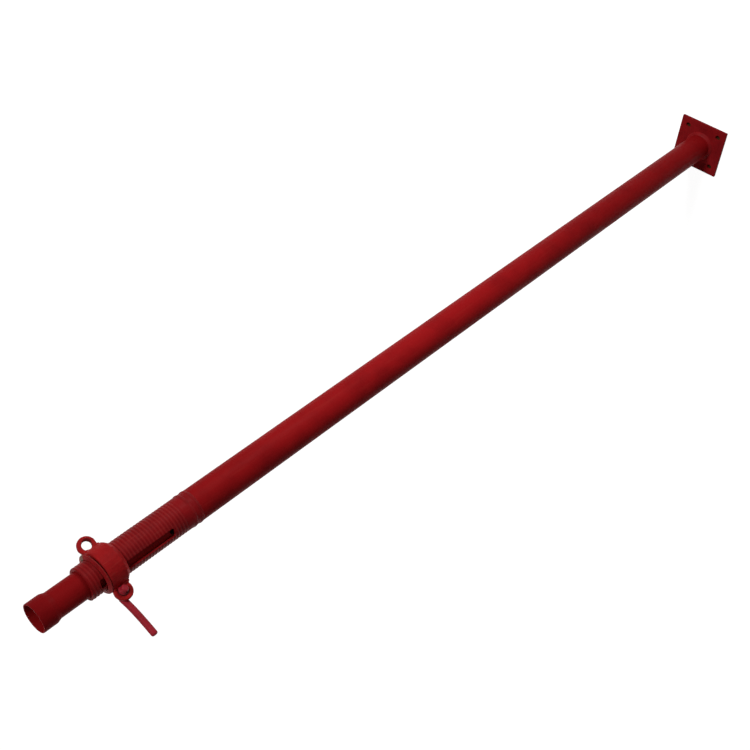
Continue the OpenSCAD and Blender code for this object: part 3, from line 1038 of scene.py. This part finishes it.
# %% [markdown]
# ## Floor, light and camera
#
# The prop stands on a pale floor that fades into a white room. The camera sees the room at full white, and the
# prop itself is lit by a weak sky, a wide soft daylight from above one side, a soft lamp beside its middle, and a
# low fill from behind, so that its back isn't black when someone walks round it. A ray that shows the floor or
# the room finds them white, and a ray that only carries light finds them dim, so they don't wash out the paint.
# The camera looks down along the prop from above the socket, rolled on its side.

# %% Floor
UNDER_PLATE_SHADE = "#4A301C"
PALE_GREY = "#A8A8A8"
FLOOR_GLOW = 0.92
PLATE_OVERHANG = 5 * MM
FLOOR_SIZE = 60


def seen_directly(tree):
    """1 for a ray from the camera, from a mirror or through glass, and 0 for one that only carries light."""
    path = add(tree, "ShaderNodeLightPath").outputs
    seen = add(tree, "ShaderNodeMath", {0: path["Is Camera Ray"], 1: path["Is Glossy Ray"]}, operation="MAXIMUM")
    return add(tree, "ShaderNodeMath", {0: seen, 1: path["Is Transmission Ray"]}, operation="MAXIMUM")


def pale_floor():
    """A matt floor that shows white to the camera and still takes a shadow."""
    material, tree = new_material("matt_pale_floor")

    # under the plate the floor is painted dark and doesn't glow, as painted shade; it shows only through the fixing
    # holes
    place = add(tree, "ShaderNodeTexCoord").outputs["Object"]
    square = add(tree, "ShaderNodeMapping", {"Vector": place, "Rotation": (0, 0, PLATE_ANGLE)}, vector_type="TEXTURE")
    side = add(tree, "ShaderNodeSeparateXYZ", {0: square})
    x = add(tree, "ShaderNodeMath", {0: side.outputs[0]}, operation="ABSOLUTE")
    y = add(tree, "ShaderNodeMath", {0: side.outputs[1]}, operation="ABSOLUTE")
    edge = add(tree, "ShaderNodeMath", {0: x, 1: y}, operation="MAXIMUM")
    clear = add(tree, "ShaderNodeMath", {0: edge, 1: PLATE_SIDE / 2 - PLATE_OVERHANG}, operation="GREATER_THAN")
    colour = add(
        tree, "ShaderNodeMix", {0: clear, 6: linear(UNDER_PLATE_SHADE), 7: linear(PALE_GREY)}, data_type="RGBA"
    ).outputs[2]
    matt = add(tree, "ShaderNodeBsdfDiffuse", {"Color": colour})
    glow = add(tree, "ShaderNodeMath", {0: seen_directly(tree), 1: clear}, operation="MULTIPLY")
    glow = add(tree, "ShaderNodeMath", {0: glow, 1: FLOOR_GLOW}, operation="MULTIPLY")
    light = add(tree, "ShaderNodeEmission", {"Strength": glow})
    both = add(tree, "ShaderNodeAddShader", {0: matt, 1: light})
    add(tree, "ShaderNodeOutputMaterial", {"Surface": both})
    return material


bpy.ops.mesh.primitive_plane_add(size=FLOOR_SIZE, location=(0, 0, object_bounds()[0].z))
floor = bpy.context.object
floor.name = "floor"
floor.data.materials.append(pale_floor())

# %% Light
SKY = 0.08
DAYLIGHT = 1.3
LAMP_POWER = 4.7
LAMP_HEIGHT = 1.1
LAMP_DISTANCE = 0.9
BACK_FILL = 1.0
BRIGHT_SIDE = 78
FAR_SIDE = 217.5
SUN_DISTANCE = 4
world = bpy.data.worlds.new("white_room")
bpy.context.scene.world = world
world.use_nodes = True
tree = world.node_tree
tree.nodes.clear()
level = add(tree, "ShaderNodeMapRange", {"Value": seen_directly(tree), 3: SKY, 4: 1.0})
room = add(tree, "ShaderNodeBackground", {"Color": (1, 1, 1, 1), "Strength": level})
add(tree, "ShaderNodeOutputWorld", {"Surface": room})


def add_lamp(name, kind, energy, location, aim, **settings):
    """A lamp that points at a place."""
    data = bpy.data.lights.new(name, kind)
    data.energy = energy
    for key, value in settings.items():
        setattr(data, key, value)
    lamp = put(name, data)
    lamp.location = location
    lamp.rotation_euler = (aim - location).to_track_quat("-Z", "Y").to_euler()
    lamp.visible_camera = False
    return lamp


def towards(azimuth, elevation):
    """The direction at an azimuth and an elevation in degrees."""
    flat = math.cos(math.radians(elevation))
    turn = math.radians(azimuth)
    return Vector((flat * math.cos(turn), flat * math.sin(turn), math.sin(math.radians(elevation))))


# a sun lights from its direction only, however far away it is, and the fill leaves no glints on the paint
add_lamp("wide_daylight", "SUN", DAYLIGHT, towards(BRIGHT_SIDE, 40) * SUN_DISTANCE, Vector(), angle=math.radians(16))
fill = add_lamp("back_fill", "SUN", BACK_FILL, towards(FAR_SIDE, 8) * SUN_DISTANCE, Vector(), angle=math.radians(20))
fill.visible_glossy = False
lamp_aim = Vector((0, 0, LAMP_HEIGHT))
lamp_spot = lamp_aim + LAMP_DISTANCE * towards(BRIGHT_SIDE, 0)
add_lamp("soft_lamp", "AREA", LAMP_POWER, lamp_spot, lamp_aim, shape="RECTANGLE", size=0.5, size_y=0.6)

# %% Camera
VIEWPOINT = Vector((1.488, 1.141, 2.511))
AIM_HEIGHT = 1.1964
ROLL = math.radians(-125.43)
camera_data = bpy.data.cameras.new("camera")
camera_data.sensor_width = 36
camera_data.lens = 57.89
camera = put("camera", camera_data)
camera.location = VIEWPOINT

# the last small turns centre the prop in the frame
nudge = Matrix.Rotation(0.00113, 3, "Y") @ Matrix.Rotation(0.00016, 3, "X")
look = (Vector((0, 0, AIM_HEIGHT)) - VIEWPOINT).to_track_quat("-Z", "Y").to_matrix()
camera.rotation_euler = (look @ Matrix.Rotation(ROLL, 3, "Z") @ nudge).to_euler()
bpy.context.scene.camera = camera
bpy.context.scene.view_settings.view_transform = "Standard"
